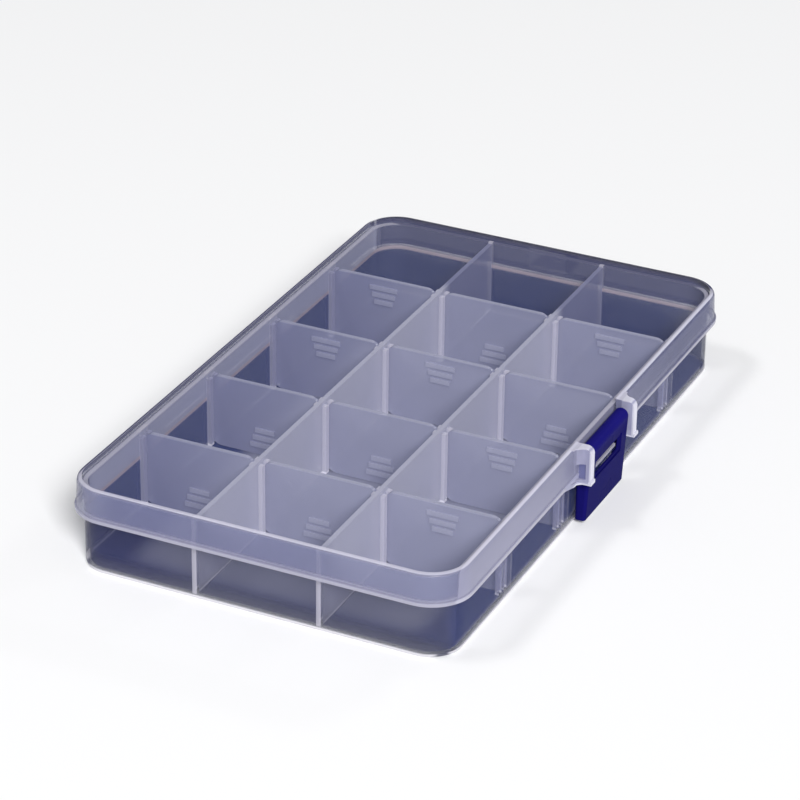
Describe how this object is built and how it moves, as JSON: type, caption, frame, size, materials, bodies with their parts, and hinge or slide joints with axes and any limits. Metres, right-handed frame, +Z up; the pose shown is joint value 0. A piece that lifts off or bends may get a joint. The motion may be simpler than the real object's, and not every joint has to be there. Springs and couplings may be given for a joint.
{
  "type": "compartment organizer box",
  "caption": "Flat see-through organizer box with one hinged lid, a snap latch, lift-out dividers and a hanging tab, for sorting beads and small parts.",
  "frame": {"origin": "centre of the tray's underside, on the surface that the box lies on", "axes": "+X across the box from the hinge to the latch, +Y along the box towards the hanging tab, +Z up"},
  "size_m": [0.111, 0.1868, 0.0235],
  "materials": {
    "tray_plastic": "clear moulded polypropylene, satin gloss",
    "lid_plastic": "clear moulded polypropylene, satin gloss",
    "divider_plastic": "frosted clear moulded polypropylene",
    "latch_plastic": "solid blue moulded plastic, satin"
  },
  "bodies": {
    "tray": {"base_tray": "tray_plastic"},
    "lid": {"lid_panel": "lid_plastic", "lid_skirt": "lid_plastic"},
    "latch": {"latch": "latch_plastic"},
    "divider_r1_c1": {"divider_r1_c1": "divider_plastic"},
    "divider_r1_c2": {"divider_r1_c2": "divider_plastic"},
    "divider_r1_c3": {"divider_r1_c3": "divider_plastic"},
    "divider_r2_c1": {"divider_r2_c1": "divider_plastic"},
    "divider_r2_c2": {"divider_r2_c2": "divider_plastic"},
    "divider_r2_c3": {"divider_r2_c3": "divider_plastic"},
    "divider_r3_c1": {"divider_r3_c1": "divider_plastic"},
    "divider_r3_c2": {"divider_r3_c2": "divider_plastic"},
    "divider_r3_c3": {"divider_r3_c3": "divider_plastic"},
    "divider_r4_c1": {"divider_r4_c1": "divider_plastic"},
    "divider_r4_c2": {"divider_r4_c2": "divider_plastic"},
    "divider_r4_c3": {"divider_r4_c3": "divider_plastic"}
  },
  "joints": [
    {"name": "lid_hinge", "type": "hinge", "parent": "tray", "child": "lid", "pos_m": [-0.05301, 0, 0.0136], "axis": [0, -1, 0], "range_deg": [0, 180]},
    {"name": "latch_pivot", "type": "hinge", "parent": "lid", "child": "latch", "pos_m": [0.0524, 0, 0.0197], "axis": [0, -1, 0], "range_deg": [0, 110]},
    {"name": "divider_lift_r1_c1", "type": "slide", "parent": "tray", "child": "divider_r1_c1", "axis": [0, 0, 1], "range_m": [0, 0.0005]},
    {"name": "divider_lift_r1_c2", "type": "slide", "parent": "tray", "child": "divider_r1_c2", "axis": [0, 0, 1], "range_m": [0, 0.0005]},
    {"name": "divider_lift_r1_c3", "type": "slide", "parent": "tray", "child": "divider_r1_c3", "axis": [0, 0, 1], "range_m": [0, 0.0005]},
    {"name": "divider_lift_r2_c1", "type": "slide", "parent": "tray", "child": "divider_r2_c1", "axis": [0, 0, 1], "range_m": [0, 0.0005]},
    {"name": "divider_lift_r2_c2", "type": "slide", "parent": "tray", "child": "divider_r2_c2", "axis": [0, 0, 1], "range_m": [0, 0.0005]},
    {"name": "divider_lift_r2_c3", "type": "slide", "parent": "tray", "child": "divider_r2_c3", "axis": [0, 0, 1], "range_m": [0, 0.0005]},
    {"name": "divider_lift_r3_c1", "type": "slide", "parent": "tray", "child": "divider_r3_c1", "axis": [0, 0, 1], "range_m": [0, 0.0005]},
    {"name": "divider_lift_r3_c2", "type": "slide", "parent": "tray", "child": "divider_r3_c2", "axis": [0, 0, 1], "range_m": [0, 0.0005]},
    {"name": "divider_lift_r3_c3", "type": "slide", "parent": "tray", "child": "divider_r3_c3", "axis": [0, 0, 1], "range_m": [0, 0.0005]},
    {"name": "divider_lift_r4_c1", "type": "slide", "parent": "tray", "child": "divider_r4_c1", "axis": [0, 0, 1], "range_m": [0, 0.0005]},
    {"name": "divider_lift_r4_c2", "type": "slide", "parent": "tray", "child": "divider_r4_c2", "axis": [0, 0, 1], "range_m": [0, 0.0005]},
    {"name": "divider_lift_r4_c3", "type": "slide", "parent": "tray", "child": "divider_r4_c3", "axis": [0, 0, 1], "range_m": [0, 0.0005]}
  ]
}
